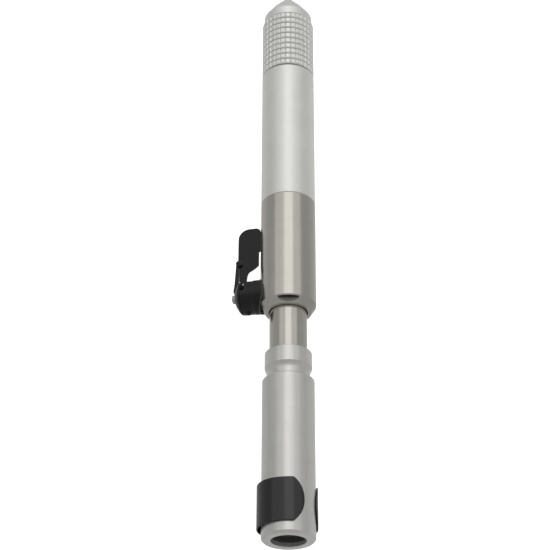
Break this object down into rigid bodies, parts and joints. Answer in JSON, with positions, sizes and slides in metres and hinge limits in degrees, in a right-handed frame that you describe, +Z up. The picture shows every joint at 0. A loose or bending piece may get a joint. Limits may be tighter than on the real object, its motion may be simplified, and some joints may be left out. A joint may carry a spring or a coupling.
{
  "type": "telescopic mini pump",
  "caption": "Slim telescopic hand pump with knurled conical cap, side lever lock, steel shaft, grooved chuck barrel and black spring band.",
  "frame": {"origin": "centre of the valve mouth, on the pump's axis, in the plane of the barrel's end face", "axes": "+Y along the pump's axis from the valve mouth to the handle's tip, +Z up, the lever lock on the -X side"},
  "size_m": [0.0367, 0.2744, 0.024],
  "materials": {
    "barrel_aluminium": "satin",
    "sleeve_aluminium": "satin anodised",
    "nose_steel": "turned",
    "shaft_steel": "ground",
    "screw_steel": "satin",
    "spring_steel": "drawn wire",
    "lock_black": "black oxide, satin",
    "band_black": "black spring steel, satin",
    "brass": "machined",
    "guide_plastic": "matt",
    "rubber": "matt"
  },
  "bodies": {
    "chuck": {"chuck_body": "barrel_aluminium", "valve_gland": "rubber", "gland_washer": "brass", "shaft_seal": "rubber", "shaft_tube": "shaft_steel", "topout_bumper": "rubber", "piston_head": "brass", "piston_ring": "guide_plastic", "piston_seal": "rubber", "spring_seat": "brass", "check_spring": "spring_steel"},
    "check": {"check_poppet": "rubber"},
    "band": {"spring_band": "band_black"},
    "handle": {"nose_sleeve": "nose_steel", "upper_sleeve": "sleeve_aluminium", "pump_cylinder": "sleeve_aluminium", "rod_bearing": "guide_plastic", "rod_wiper": "rubber", "cylinder_plug": "sleeve_aluminium", "plug_ring": "rubber", "saddle_seal": "rubber", "lock_housing": "lock_black", "housing_screw": "lock_black"},
    "cap_seal": {"cap_ring": "rubber"},
    "cap": {"grip_cap": "sleeve_aluminium", "tip_point": "screw_steel"},
    "lever": {"lever_plate": "lock_black", "lever_link": "lock_black", "link_pin": "lock_black", "lever_screw": "screw_steel", "lock_spindle": "screw_steel"},
    "plunger": {"lock_plunger": "screw_steel", "plunger_pad": "brass"}
  },
  "joints": [
    {"name": "handle_slide", "type": "slide", "parent": "chuck", "child": "handle", "axis": [0, 1, 0], "range_m": [-0.0194, 0.0655]},
    {"name": "check_lift", "type": "slide", "parent": "chuck", "child": "check", "axis": [0, -1, 0], "range_m": [0, 0.001], "stiffness_N_per_m": 200, "springref_m": -0.003, "deforming": ["check_spring"]},
    {"name": "band_turn", "type": "hinge", "parent": "chuck", "child": "band", "pos_m": [0, 0.0138, 0], "axis": [0, 1, 0], "continuous": true},
    {"name": "cap_travel", "type": "slide", "parent": "handle", "child": "cap_seal", "axis": [0, 1, 0], "range_m": [0, 0.0045]},
    {"name": "cap_turn", "type": "hinge", "parent": "cap_seal", "child": "cap", "pos_m": [0, 0.24, 0], "axis": [0, 1, 0], "range_deg": [0, 1080]},
    {"name": "lever_turn", "type": "hinge", "parent": "handle", "child": "lever", "pos_m": [-0.018, 0.111, 0], "axis": [1, 0, 0], "range_deg": [0, 84]},
    {"name": "lock_feed", "type": "slide", "parent": "handle", "child": "plunger", "axis": [1, 0, 0], "range_m": [0, 0.00035]}
  ],
  "couplings": [
    {"joint": "cap_travel", "follows": "cap_turn", "m_per_rad": 0.00023873},
    {"joint": "lock_feed", "follows": "lever_turn", "m_per_rad": 0.000235}
  ]
}
